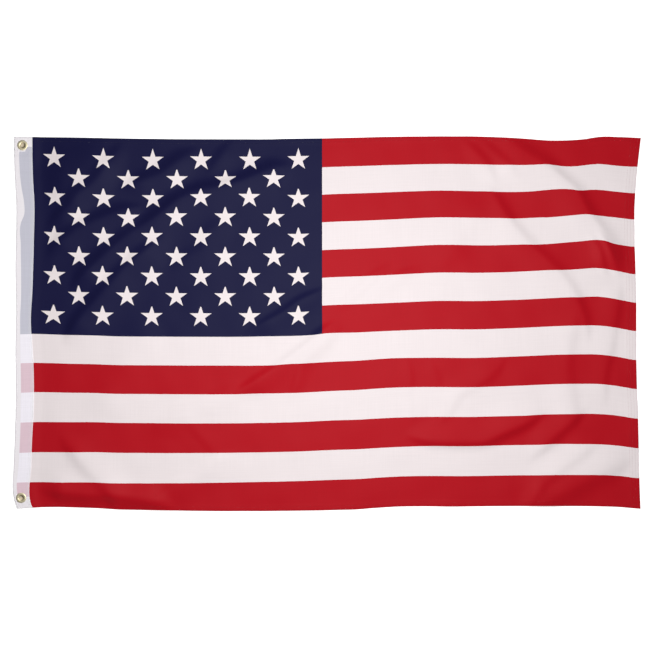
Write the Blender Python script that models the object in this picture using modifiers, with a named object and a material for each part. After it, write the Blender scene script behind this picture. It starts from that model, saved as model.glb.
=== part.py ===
"""A printed flag of three by five feet, lying face up on a flat surface, with a folded heading and two grommets.

Metres, with +X from the hoist to the fly, +Y from the bottom edge to the top edge and +Z up. The origin is in
the middle of the footprint, on the surface that the flag lies on. A place on the cloth is (s, t): s is the
distance from the folded edge of the heading, and t the share of the hoist, 0 at the bottom edge and 1 at the
top. The laid cloth strays a few millimetres from a straight rectangle, which the lines of knots below give.
"""

from typing import NamedTuple

import bmesh
import bpy
import numpy as np

MM = 0.001

# Cloth: its length, the height that it covers as it lies, and where its lower hoist corner would be if it
# lay straight. Pieces stand GAP apart.
FLY_LENGTH = 1.524
LAID_HOIST = 0.9057
CORNER_X = -0.7603
CORNER_Y = -0.4523
PLY = 1.0 * MM
GAP = 0.3 * MM

# The laid edges, as (s, millimetres up), and the extra rise of the cloth halfway up the hoist.
TOP_EDGE = (
    (0.0, 1.5), (0.05, 1.5), (0.25, -1.3), (0.54, -3.1), (0.74, -1.7), (0.94, 2.7), (1.04, 3.4),
    (1.14, 2.7), (1.233, -1.4), (1.326, -6.5), (1.38, -2.7), (1.429, 3.9), (1.477, 2.4), (1.524, 0.0),
)
BOTTOM_EDGE = (
    (0.0, 1.7), (0.052, 4.6), (0.15, 3.8), (0.2, 2.3), (0.248, -0.7), (0.3, -1.8), (0.785, -1.8),
    (0.833, -0.5), (0.882, 3.3), (0.931, 6.3), (0.98, 7.1), (1.077, 6.4), (1.175, 7.6), (1.321, 7.6),
    (1.419, 6.7), (1.468, 5.4), (1.516, 1.7), (1.524, 1.2),
)
BOW = (
    (0.045, 7.5), (0.096, 6.0), (0.209, 5.0), (0.331, 5.3), (0.575, 7.0), (0.697, 9.0), (0.77, 12.5),
    (0.941, 13.0), (1.038, 17.0), (1.136, 18.0), (1.233, 23.0), (1.331, 29.0), (1.404, 27.0),
    (1.477, 21.0), (1.516, 16.0),
)
BOW_FULLNESS = 0.8
# How the hoist and the fly edge sway, as (t, millimetres towards the fly), and the stretches of s over which
# the sway of the hoist dies away and that of the fly edge comes in.
HOIST_SWAY = (
    (0.0, 6.0), (0.03, -2.0), (0.065, -6.0), (0.12, -3.0), (0.19, 0.5), (0.3, 2.7), (0.5, -0.5),
    (0.62, 0.3), (0.72, 3.2), (0.81, 4.0), (0.9, 0.0), (1.0, -1.0),
)
FLY_SWAY = (
    (0.0, 1.5), (0.06, -0.7), (0.22, -4.1), (0.38, -8.5), (0.54, -8.3), (0.64, -11.0), (0.7, -13.4),
    (0.8, -12.7), (0.83, -11.0), (0.93, -4.0), (1.0, 3.0),
)
HOIST_SWAY_ENDS = (0.05, 0.15)
FLY_SWAY_STARTS = (1.05, 1.5)
# A shallow sag of the stripes above the bottom edge: its middle (s, t), its reach along each and its drop.
SAG_MIDDLE = (0.28, 0.07)
SAG_REACH = (0.27, 0.1)
SAG_DROP = 5.5 * MM

# Heading: a strip folded round the edge of the field, with its ends turned in.
HEADING_WIDTH = 44 * MM
STACK = 3 * PLY + 2 * GAP
TURNED_IN_BOTTOM = 42 * MM
TURNED_IN_TOP = 36 * MM
TURNED_IN_WIDTH = 33.8 * MM
TURNED_IN_PLY = (STACK - GAP) / 2
PLY_STATIONS = (HEADING_WIDTH, 37.5 * MM, TURNED_IN_WIDTH, 20.5 * MM, 7 * MM)
BEND_STATIONS = 4

# Field: where its raw edge lies inside the heading and beside the turned-in ends, and how it comes out of the
# heading and down to the surface.
RAW_EDGE = 14 * MM
RAW_EDGE_AT_ENDS = 38 * MM
TUCK_STATIONS = (41.5 * MM, 45.5 * MM, 56 * MM, 68 * MM)
TUCK_HEIGHTS = (1.0, 1.0, 0.5, 0.0)
FOLDS_START = (0.05, 0.09)
FIELD_COLUMNS = 62
FLY_CLOSENESS = 0.15

# Rows of both cloths, measured along the hoist.
STEP_AT_END = 7 * MM
ROWS_AT_END = 4
ROWS_BETWEEN = 34

# Grommets: a brass eyelet whose barrel is rolled over a washer on the back of the cloth.
GROMMETS = {"top": (-0.7412, 0.4348), "bottom": (-0.7444, -0.4245)}
BORE_RADIUS = 6.0 * MM
BRASS = 0.5 * MM
BARREL_RADIUS = BORE_RADIUS + BRASS
FLANGE_RADIUS = 12.5 * MM
FLANGE_RISE = 1.0 * MM
FLANGE_LAND = (8.0 * MM, 10.0 * MM)
ROLL_RADIUS = 8.6 * MM
WASHER_RADIUS = 12.3 * MM
HOLE_RADIUS = BARREL_RADIUS + 0.4 * MM
WASHER_BASE = BRASS + GAP
CLOTH_LIFT = WASHER_BASE + BRASS + GAP
LIFT_ENDS = (0.046, 0.082)
ROUND_STEPS = 32


class Fold(NamedTuple):
    """A ridge in the cloth: its height, how far the cloth is drawn in to it, and the route of its crest in x and y."""

    height: float
    pull: float
    route: tuple


# The left side of each route, as it runs, is the steep one.
FOLDS = (
    # Across the starred corner.
    Fold(6 * MM, 1 * MM, ((-0.638, -0.015), (-0.59, 0.038), (-0.542, 0.092))),
    Fold(6 * MM, 3 * MM, ((-0.522, 0.199), (-0.359, 0.305), (-0.227, 0.351), (-0.145, 0.382))),
    Fold(5 * MM, 1 * MM, ((-0.694, 0.229), (-0.66, 0.26), (-0.633, 0.285))),
    Fold(5 * MM, 1 * MM, ((-0.593, 0.255), (-0.54, 0.275), (-0.491, 0.29))),
    # Below that corner, towards the middle of the field.
    Fold(5 * MM, 1 * MM, ((-0.156, 0.016), (-0.09, 0.052), (-0.028, 0.092))),
    Fold(6 * MM, 2 * MM, ((-0.196, -0.142), (-0.135, -0.106), (-0.044, -0.035), (0.03, 0.03))),
    Fold(3 * MM, 0.0, ((0.03, 0.055), (0.119, 0.138), (0.21, 0.168))),
    # From the top edge down to the fly.
    Fold(5 * MM, 1 * MM, ((0.343, 0.432), (0.385, 0.392), (0.424, 0.351))),
    Fold(9 * MM, 8 * MM, ((0.454, 0.432), (0.526, 0.372), (0.607, 0.321), (0.658, 0.28), (0.698, 0.239), (0.729, 0.168))),
    Fold(7 * MM, 3 * MM, ((0.393, 0.31), (0.465, 0.239), (0.526, 0.178), (0.576, 0.148), (0.627, 0.077))),
    Fold(5 * MM, 1 * MM, ((0.668, 0.188), (0.7, 0.165), (0.729, 0.138))),
    Fold(5 * MM, 1 * MM, ((0.663, -0.06), (0.668, -0.12), (0.66, -0.175))),
    # At the lower fly end.
    Fold(6 * MM, 1 * MM, ((0.485, -0.244), (0.44, -0.268), (0.393, -0.289))),
    Fold(6 * MM, 1 * MM, ((0.597, -0.238), (0.57, -0.262), (0.546, -0.284))),
    # Inside the bottom hem at both lower corners.
    Fold(8 * MM, 1 * MM, ((-0.421, -0.446), (-0.543, -0.419), (-0.63, -0.408), (-0.716, -0.4))),
    Fold(6 * MM, 1 * MM, ((0.758, -0.388), (0.643, -0.383), (0.533, -0.397))),
)
STEEP_SIDE = 0.026
GENTLE_SIDE = 0.055
PULL_REACH = 0.09
FOLD_FADES = 0.25
FOLD_FOOT = 0.4 * MM
ROUTE_POINTS = 25


def ease(x, start, end):
    """0 before start, 1 after end, and a smooth step between them."""
    u = np.clip((x - start) / (end - start), 0, 1)
    return u * u * (3 - 2 * u)


def through(knots, at):
    """A smooth line through (place, value) knots: cubics whose slopes follow the chords beside each knot."""
    place, value = np.array(knots, dtype=float).T
    at = np.clip(at, place[0], place[-1])
    slope = np.gradient(value, place)
    i = np.clip(np.searchsorted(place, at) - 1, 0, len(place) - 2)
    span = place[i + 1] - place[i]
    u = (at - place[i]) / span
    return (
        value[i] * (1 + 2 * u) * (1 - u) ** 2
        + value[i + 1] * (3 - 2 * u) * u**2
        + slope[i] * span * u * (1 - u) ** 2
        + slope[i + 1] * span * (u - 1) * u**2
    )


def smooth_route(route):
    """The route as ROUTE_POINTS points along a smooth line, evenly spread."""
    points = np.array(route)
    passed = np.concatenate([[0], np.cumsum(np.hypot(*np.diff(points, axis=0).T))])
    at = np.linspace(0, passed[-1], ROUTE_POINTS)
    return np.stack([through(np.stack([passed, points[:, k]], axis=1), at) for k in (0, 1)], axis=1)


def beside(route, x, y):
    """How far each point lies to the left of the route, the share of the route beside it, and the way left there."""
    points = smooth_route(route)
    starts, steps = points[:-1], np.diff(points, axis=0)
    to_x = x[..., None] - starts[:, 0]
    to_y = y[..., None] - starts[:, 1]
    square = (steps**2).sum(axis=1)
    u = np.clip((to_x * steps[:, 0] + to_y * steps[:, 1]) / square, 0, 1)
    off_x = to_x - u * steps[:, 0]
    off_y = to_y - u * steps[:, 1]
    nearest = np.argmin(off_x**2 + off_y**2, axis=-1)[..., None]
    off_x, off_y, u = (np.take_along_axis(a, nearest, axis=-1)[..., 0] for a in (off_x, off_y, u))
    way = steps[nearest[..., 0]] / np.sqrt(square)[nearest]
    side = np.sign(way[..., 0] * off_y - way[..., 1] * off_x)
    share = (nearest[..., 0] + u) / len(steps)
    return side * np.hypot(off_x, off_y), share, -way[..., 1], way[..., 0]


def lay(s, t):
    """Where the place (s, t) lies on the surface, as x and y, and the height of the folds there."""
    edges = through(BOTTOM_EDGE, s) * (1 - t) + through(TOP_EDGE, s) * t
    bow = through(BOW, s) * np.sin(np.pi * t) ** BOW_FULLNESS
    sag = SAG_DROP * np.exp(
        -(((s - SAG_MIDDLE[0]) / SAG_REACH[0]) ** 2) - ((t - SAG_MIDDLE[1]) / SAG_REACH[1]) ** 2
    )
    sag = sag * ease(t, 0, SAG_MIDDLE[1])
    sway = through(HOIST_SWAY, t) * (1 - ease(s, *HOIST_SWAY_ENDS)) + through(FLY_SWAY, t) * ease(s, *FLY_SWAY_STARTS)
    x = CORNER_X + s + MM * sway
    y = CORNER_Y + t * LAID_HOIST + MM * (edges + bow) - sag
    free = ease(s, *FOLDS_START)
    height, pull_x, pull_y = np.zeros((3,) + x.shape)
    for fold in FOLDS:
        left, share, left_x, left_y = beside(fold.route, x, y)
        strength = free * ease(np.minimum(share, 1 - share), 0, FOLD_FADES)
        width = np.where(left > 0, STEEP_SIDE, GENTLE_SIDE)
        height += strength * fold.height * np.exp(-((left / width) ** 2))
        pull = -strength * fold.pull * np.tanh(left / STEEP_SIDE) * np.exp(-np.abs(left) / PULL_REACH)
        pull_x += pull * left_x
        pull_y += pull * left_y
    return x + pull_x, y + pull_y, np.clip(height - FOLD_FOOT, 0, None)


def rows_up_hoist():
    """The t of each row, closer together at the turned-in ends of the heading."""
    low = TURNED_IN_BOTTOM
    high = LAID_HOIST - TURNED_IN_TOP
    first = low + 2 * STEP_AT_END
    last = high - 2 * STEP_AT_END
    rows = np.concatenate([
        np.linspace(0, low, ROWS_AT_END + 1),
        [low + STEP_AT_END],
        np.linspace(first, last, ROWS_BETWEEN + 1),
        [high - STEP_AT_END],
        np.linspace(high, LAID_HOIST, ROWS_AT_END + 1),
    ])
    return rows / LAID_HOIST


def lift(t):
    """How far the backs of the grommets hold the cloth off the surface."""
    from_end = np.minimum(t, 1 - t) * LAID_HOIST
    return CLOTH_LIFT * (1 - ease(from_end, *LIFT_ENDS))


def grid_mesh(name, columns, rows, place):
    """A grid mesh of columns by rows cells, each vertex put where place(column, row) says."""
    cells = bmesh.new()
    bmesh.ops.create_grid(cells, x_segments=columns, y_segments=rows, size=0.5)
    mesh = bpy.data.meshes.new(name)
    cells.to_mesh(mesh)
    cells.free()
    points = np.empty(len(mesh.vertices) * 3)
    mesh.vertices.foreach_get("co", points)
    column, row = np.rint((points.reshape(-1, 3)[:, :2].T + 0.5) * [[columns], [rows]]).astype(int)
    mesh.vertices.foreach_set("co", np.stack(place(column, row), axis=1).ravel())
    mesh.update()
    mesh.shade_smooth()
    return mesh, column, row


def add_object(name, mesh, collection):
    """A new object of this mesh in the collection."""
    obj = bpy.data.objects.new(name, mesh)
    collection.objects.link(obj)
    return obj


def add_material(obj, name, colour, roughness, metallic=0.0):
    """Gives the object its own Principled BSDF material."""
    material = bpy.data.materials.new(name)
    material.use_nodes = True
    shader = material.node_tree.nodes["Principled BSDF"]
    shader.inputs["Base Color"].default_value = (*colour, 1)
    shader.inputs["Roughness"].default_value = roughness
    shader.inputs["Metallic"].default_value = metallic
    obj.data.materials.append(material)


def add_thickness(obj, thickness, offset):
    """Gives an open sheet its thickness: offset 1 grows it along its normals and -1 against them."""
    solidify = obj.modifiers.new("thickness", "SOLIDIFY")
    solidify.thickness = thickness
    solidify.offset = offset
    solidify.use_even_offset = True
    return solidify


def make_field(collection):
    """The printed cloth: one hemmed panel, its hoist edge tucked inside the heading."""
    t_of_row = rows_up_hoist()
    inside = (t_of_row * LAID_HOIST > TURNED_IN_BOTTOM + 1.5 * STEP_AT_END) & (
        (1 - t_of_row) * LAID_HOIST > TURNED_IN_TOP + 1.5 * STEP_AT_END
    )
    raw_edge = np.where(inside, RAW_EDGE, RAW_EDGE_AT_ENDS)
    share = np.linspace(0, 1, FIELD_COLUMNS + 1)[1:]
    open_length = FLY_LENGTH - TUCK_STATIONS[-1]
    open_stations = TUCK_STATIONS[-1] + open_length * share * (1 + FLY_CLOSENESS * (1 - share))
    stations = np.concatenate([[0], TUCK_STATIONS, open_stations])
    tucked = np.zeros(len(stations))
    tucked[: len(TUCK_HEIGHTS) + 1] = (TUCK_HEIGHTS[0], *TUCK_HEIGHTS)

    def place(column, row):
        s = np.where(column == 0, raw_edge[row], stations[column])
        t = t_of_row[row]
        x, y, height = lay(s, t)
        return x, y, height + tucked[column] * (PLY + GAP + lift(t))

    mesh, _, _ = grid_mesh("field", len(stations) - 1, len(t_of_row) - 1, place)
    obj = add_object("field", mesh, collection)
    add_thickness(obj, PLY, 1)
    add_material(obj, "printed_polyester", (0.45, 0.013, 0.02), 0.75)


def make_heading(collection, cutters):
    """The white strip folded round the field's hoist edge, with holes for the grommets in its turned-in ends."""
    t_of_row = rows_up_hoist()
    radius = STACK / 2
    turn = np.linspace(0, np.pi, BEND_STATIONS + 1)
    ply = np.array(PLY_STATIONS)
    s_of_column = np.concatenate([ply, radius - radius * np.sin(turn), ply[::-1]])
    z_of_column = np.concatenate([0 * ply, radius - radius * np.cos(turn), 0 * ply + STACK])

    def place(column, row):
        s, t = s_of_column[column], t_of_row[row]
        x, y, _ = lay(s, t)
        return x, y, z_of_column[column] + lift(t)

    mesh, column, row = grid_mesh("heading", len(s_of_column) - 1, len(t_of_row) - 1, place)
    obj = add_object("heading", mesh, collection)
    from_bottom = t_of_row[row] * LAID_HOIST
    at_end = (from_bottom < TURNED_IN_BOTTOM + 0.5 * STEP_AT_END) | (
        LAID_HOIST - from_bottom < TURNED_IN_TOP + 0.5 * STEP_AT_END
    )
    turned_in = at_end & (s_of_column[column] <= TURNED_IN_WIDTH)
    group = obj.vertex_groups.new(name="turned_in")
    group.add(np.flatnonzero(turned_in).tolist(), 1.0, "REPLACE")
    solidify = add_thickness(obj, TURNED_IN_PLY, -1)
    solidify.vertex_group = group.name
    solidify.thickness_vertex_group = PLY / TURNED_IN_PLY
    for cutter in cutters:
        boolean = obj.modifiers.new(cutter.name, "BOOLEAN")
        boolean.operation = "DIFFERENCE"
        boolean.object = cutter
    add_material(obj, "white_canvas", (0.86, 0.83, 0.86), 0.85)


def make_cutters(collection):
    """A hidden cylinder through the heading for each grommet."""
    cutters = []
    for end, (x, y) in GROMMETS.items():
        cells = bmesh.new()
        bmesh.ops.create_cone(
            cells, cap_ends=True, segments=ROUND_STEPS, radius1=HOLE_RADIUS, radius2=HOLE_RADIUS, depth=6 * STACK
        )
        mesh = bpy.data.meshes.new(f"hole_{end}")
        cells.to_mesh(mesh)
        cells.free()
        cutter = add_object(f"hole_{end}", mesh, collection)
        cutter.location = (x, y, CLOTH_LIFT + STACK / 2)
        cutter.hide_render = True
        cutter.display_type = "WIRE"
        cutters.append(cutter)
    return cutters


def turned(name, profile, centre, collection):
    """A ring turned about a vertical axis from a closed profile of (radius, z) points, down its outer side first."""
    mesh = bpy.data.meshes.new(name)
    edges = [(i, (i + 1) % len(profile)) for i in range(len(profile))]
    mesh.from_pydata([(radius, 0, z) for radius, z in profile], edges, [])
    obj = add_object(name, mesh, collection)
    obj.location = (*centre, 0)
    screw = obj.modifiers.new("turn", "SCREW")
    screw.steps = ROUND_STEPS
    screw.render_steps = ROUND_STEPS
    screw.use_merge_vertices = True
    screw.merge_threshold = 0.00001
    screw.use_smooth_shade = True
    add_material(obj, f"{name}_brass", (0.6, 0.5, 0.27), 0.3, 1.0)


def eyelet_profile():
    """The eyelet's section: a domed flange, the barrel through the cloth, and its end rolled outwards on the back."""
    seat = CLOTH_LIFT + STACK + GAP
    crown = seat + FLANGE_RISE
    land_in, land_out = FLANGE_LAND
    corner = BRASS / 2
    return (
        (land_out, crown), (11.6 * MM, crown - 0.25 * MM), (12.3 * MM, seat + 0.35 * MM), (FLANGE_RADIUS, seat),
        (BARREL_RADIUS, seat), (BARREL_RADIUS, BRASS), (ROLL_RADIUS - corner, BRASS), (ROLL_RADIUS, corner),
        (ROLL_RADIUS - corner, 0), (BARREL_RADIUS, 0), (BORE_RADIUS, BRASS), (BORE_RADIUS, seat + corner),
        (BARREL_RADIUS, crown - corner), (land_in, crown),
    )


def washer_profile():
    """The washer's section, a flat ring with an eased outer rim."""
    top = WASHER_BASE + BRASS
    corner = BRASS / 2
    return (
        (WASHER_RADIUS - corner, top), (WASHER_RADIUS, top - corner), (WASHER_RADIUS, WASHER_BASE),
        (HOLE_RADIUS, WASHER_BASE), (HOLE_RADIUS, top),
    )


def make_grommets(collection):
    """An eyelet and its washer at each end of the heading."""
    for end, centre in GROMMETS.items():
        turned(f"eyelet_{end}", eyelet_profile(), centre, collection)
        turned(f"washer_{end}", washer_profile(), centre, collection)


def make_collection(name):
    """A new collection in the scene."""
    collection = bpy.data.collections.new(name)
    bpy.context.scene.collection.children.link(collection)
    return collection


def main():
    """Clears the scene and builds the flag."""
    for obj in list(bpy.data.objects):
        bpy.data.objects.remove(obj, do_unlink=True)
    flag = make_collection("flag")
    cutters = make_cutters(make_collection("cutters"))
    make_field(flag)
    make_heading(flag, cutters)
    make_grommets(flag)


main()
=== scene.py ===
"""Looks of a printed flag with stars and stripes that lies face up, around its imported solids.

Metres: +X runs from the hoist to the fly, +Y from the bottom edge to the top edge and +Z up. A place on the
cloth is (s, t), as in the solids: s is the distance from the heading's folded edge, and t the share of the
hoist, 0 at the bottom edge and 1 at the top. Each cloth mesh has a UV map named "cut", which holds the same
place in metres on the cut cloth, and the print is worked out from it.
"""

import logging
from collections.abc import Callable, Sequence
from dataclasses import dataclass, field
from enum import Enum

import bpy
import numpy as np
from bpy.types import Material, Node, NodeSocket, NodeTree, Object
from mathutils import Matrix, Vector
from numpy.typing import NDArray


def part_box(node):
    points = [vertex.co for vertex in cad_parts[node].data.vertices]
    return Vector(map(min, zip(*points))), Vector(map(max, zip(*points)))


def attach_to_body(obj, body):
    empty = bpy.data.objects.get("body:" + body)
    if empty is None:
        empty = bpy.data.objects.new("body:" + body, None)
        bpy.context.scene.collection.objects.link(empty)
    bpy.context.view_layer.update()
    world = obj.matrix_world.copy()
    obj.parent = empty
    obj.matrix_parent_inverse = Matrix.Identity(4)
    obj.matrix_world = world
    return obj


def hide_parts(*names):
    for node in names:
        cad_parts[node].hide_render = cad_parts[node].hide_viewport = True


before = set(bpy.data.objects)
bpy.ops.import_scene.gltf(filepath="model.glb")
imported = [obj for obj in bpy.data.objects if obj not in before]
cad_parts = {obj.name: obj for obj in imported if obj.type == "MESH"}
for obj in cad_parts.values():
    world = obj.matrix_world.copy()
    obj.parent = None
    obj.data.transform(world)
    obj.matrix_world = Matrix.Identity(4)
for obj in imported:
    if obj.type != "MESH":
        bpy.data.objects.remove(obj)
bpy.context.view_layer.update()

Array = NDArray[np.float64]
Numbers = NDArray[np.integer]
Knots = tuple[tuple[float, float], ...]
Colour = tuple[float, float, float, float]
Line = tuple[tuple[float, float], tuple[float, float]]
Surface = Callable[[Array, Array], tuple[Array, Array, Array]]

MM = 0.001
MM_IN_A_METRE = 1000
BODY = "root"
UV_NAME = "cut"
UNDER_NAME = "under"
FLY_LENGTH = 1.524
CUT_HOIST = 0.914
STRIPES = 13
# What a step of a formula may do besides the operations of a Math node: the kind of node, the inputs of the
# operands in order, the output, and the node's settings.
STEPS = {
    "MIX": ("ShaderNodeMix", (0, 6, 7), 2, {"data_type": "RGBA"}),
    "TINT": ("ShaderNodeMix", (0, 6, 7), 2, {"data_type": "RGBA", "blend_type": "MULTIPLY"}),
    "LIGHTEN": ("ShaderNodeMix", (0, 6, 7), 2, {"data_type": "RGBA", "blend_type": "ADD"}),
    "RANGE": ("ShaderNodeMapRange", range(5), 0, {}),
    "SCALE": ("ShaderNodeMapping", ("Vector", "Scale"), 0, {}),
    "NOISE": ("ShaderNodeTexNoise", ("Vector", "Scale", "Detail"), 0, {}),
    "BUMP": ("ShaderNodeBump", ("Height", "Strength", "Distance"), 0, {}),
}
# Nearly all values of a noise texture lie between these two.
NOISE_LOW = 0.3
NOISE_HIGH = 0.7

log = logging.getLogger("flag")


class Side(Enum):
    """The two sides of the printed cloth."""

    FACE = "face"
    BACK = "back"


def linear(hex_colour: str) -> Colour:
    """Turns an sRGB hex colour into a linear one.

    Args:
        hex_colour: Colour as "RRGGBB".

    Returns:
        Linear red, green, blue and an alpha of 1.
    """
    srgb = np.array([int(hex_colour[i : i + 2], 16) for i in (0, 2, 4)]) / 255
    value = np.where(srgb <= 0.04045, srgb / 12.92, ((srgb + 0.055) / 1.055) ** 2.4)
    return (*value.tolist(), 1.0)


def ease(x: Array, start: float, end: float) -> Array:
    """Rises smoothly, as u²(3 - 2u), from 0 at start to 1 at end.

    Args:
        x: Where to work it out.
        start: Place of the 0.
        end: Place of the 1.

    Returns:
        The eased share at each place.
    """
    u = np.clip((x - start) / (end - start), 0, 1)
    return u * u * (3 - 2 * u)


def bell(x: Array, middle: float, reach: float) -> Array:
    """Works out exp(-((x - middle) / reach)²), a bell that is 1 in the middle.

    Args:
        x: Where to work it out.
        middle: Place of the crest.
        reach: Distance at which it has fallen to 1/e.

    Returns:
        The height of the bell at each place.
    """
    return np.exp(-(((x - middle) / reach) ** 2))


def through(knots: Knots | Array, at: Array) -> Array:
    """Reads a smooth line through knots: a cubic in each span, whose end slopes follow the chords beside it.

    Args:
        knots: (place, value) pairs in order of place.
        at: Where to read the line.

    Returns:
        Its value at each place, held constant beyond the first and last knots.
    """
    place, value = np.array(knots, dtype=float).T
    at = np.clip(at, place[0], place[-1])
    slope = np.gradient(value, place)
    i = np.clip(np.searchsorted(place, at) - 1, 0, len(place) - 2)
    span = place[i + 1] - place[i]
    u = (at - place[i]) / span
    return (
        value[i] * (1 + 2 * u) * (1 - u) ** 2
        + value[i + 1] * (3 - 2 * u) * u**2
        + slope[i] * span * u * (1 - u) ** 2
        + slope[i + 1] * span * (u - 1) * u**2
    )


def spread(breaks: Sequence[float], pitch: float) -> Array:
    """Fills the stretches between break points with evenly spaced places.

    Args:
        breaks: Places that have to be among the result, in order.
        pitch: The widest spacing.

    Returns:
        All places in order.
    """
    parts = [
        np.linspace(a, b, max(1, int(np.ceil((b - a) / pitch))) + 1)[1:]
        for a, b in zip(breaks[:-1], breaks[1:])
    ]
    return np.concatenate([[breaks[0]], *parts])


@dataclass(frozen=True)
class Fold:
    """A ridge in the cloth. The left of its route, as it runs, is the steep side.

    Attributes:
        height: Height of the crest, in millimetres.
        pull: How far the cloth beside it is drawn in, in millimetres.
        steep: Reach of the steep side, in millimetres.
        gentle: Reach of the other side, in millimetres.
        route: The crest's (x, y) points, in millimetres.
    """

    height: float
    pull: float
    steep: float
    gentle: float
    route: tuple[tuple[float, float], ...]

    POINTS = 25
    # Length of the fade at each end, and the most that it may be of the whole length.
    FADE = 80 * MM
    FADE_SHARE = 0.45
    # Share of the reaches that is left at the ends, and the distance over which the pull fades.
    END_REACH = 0.4
    PULL_REACH = 90 * MM

    def smooth_route(self) -> Array:
        """Spreads POINTS points evenly along a smooth line through the route.

        Returns:
            (POINTS, 2) points in metres.
        """
        points = np.array(self.route) / MM_IN_A_METRE
        passed = np.concatenate([[0], np.cumsum(np.hypot(*np.diff(points, axis=0).T))])
        at = np.linspace(0, passed[-1], self.POINTS)
        return np.stack([through(np.stack([passed, points[:, k]], axis=1), at) for k in (0, 1)], axis=1)

    def act(self, x: Array, y: Array) -> tuple[Array, Array, Array]:
        """Works out what the fold does to the cloth round it.

        With d the distance from the crest, positive on the left, the height is h exp(-(d / reach)²) and the
        cloth moves towards the crest by pull tanh(d / steep) exp(-|d| / PULL_REACH). Both fade towards the
        ends of the route.

        Args:
            x: Places along X.
            y: Places along Y.

        Returns:
            The height and the shifts along X and Y.
        """
        points = self.smooth_route()
        steps = np.diff(points, axis=0)
        square = (steps**2).sum(axis=1)
        to_x = x[..., None] - points[:-1, 0]
        to_y = y[..., None] - points[:-1, 1]
        u = np.clip((to_x * steps[:, 0] + to_y * steps[:, 1]) / square, 0, 1)
        off_x = to_x - u * steps[:, 0]
        off_y = to_y - u * steps[:, 1]
        nearest = np.argmin(off_x**2 + off_y**2, axis=-1)[..., None]
        off_x, off_y, u = (np.take_along_axis(a, nearest, axis=-1)[..., 0] for a in (off_x, off_y, u))
        nearest = nearest[..., 0]
        way = steps[nearest] / np.sqrt(square)[nearest][..., None]
        left = np.sign(way[..., 0] * off_y - way[..., 1] * off_x) * np.hypot(off_x, off_y)
        share = (nearest + u) / len(steps)
        length = np.sqrt(square).sum()
        from_end = np.minimum(share, 1 - share) * length
        strength = ease(from_end, 0, min(self.FADE, self.FADE_SHARE * length))
        narrowed = self.END_REACH + (1 - self.END_REACH) * strength
        reach = MM * np.where(left > 0, self.steep, self.gentle) * narrowed
        height = MM * self.height * strength * np.exp(-((left / reach) ** 2))
        drawn = np.tanh(left / (MM * self.steep)) * np.exp(-np.abs(left) / self.PULL_REACH)
        pull = -MM * self.pull * strength * drawn
        return height, -pull * way[..., 1], pull * way[..., 0]


@dataclass(frozen=True)
class Drift:
    """A patch of cloth that lies some millimetres off: the shift times a bell in x and one in y.

    Attributes:
        middle: Its (x, y), in metres.
        reach: Reaches of the two bells, in metres.
        shift: The shift along X and Y in its middle, in millimetres.
    """

    middle: tuple[float, float]
    reach: tuple[float, float]
    shift: tuple[float, float]

    def act(self, x: Array, y: Array) -> tuple[Array, Array]:
        """Works out the shifts along X and Y at (x, y)."""
        share = bell(x, self.middle[0], self.reach[0]) * bell(y, self.middle[1], self.reach[1])
        return MM * self.shift[0] * share, MM * self.shift[1] * share


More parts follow.
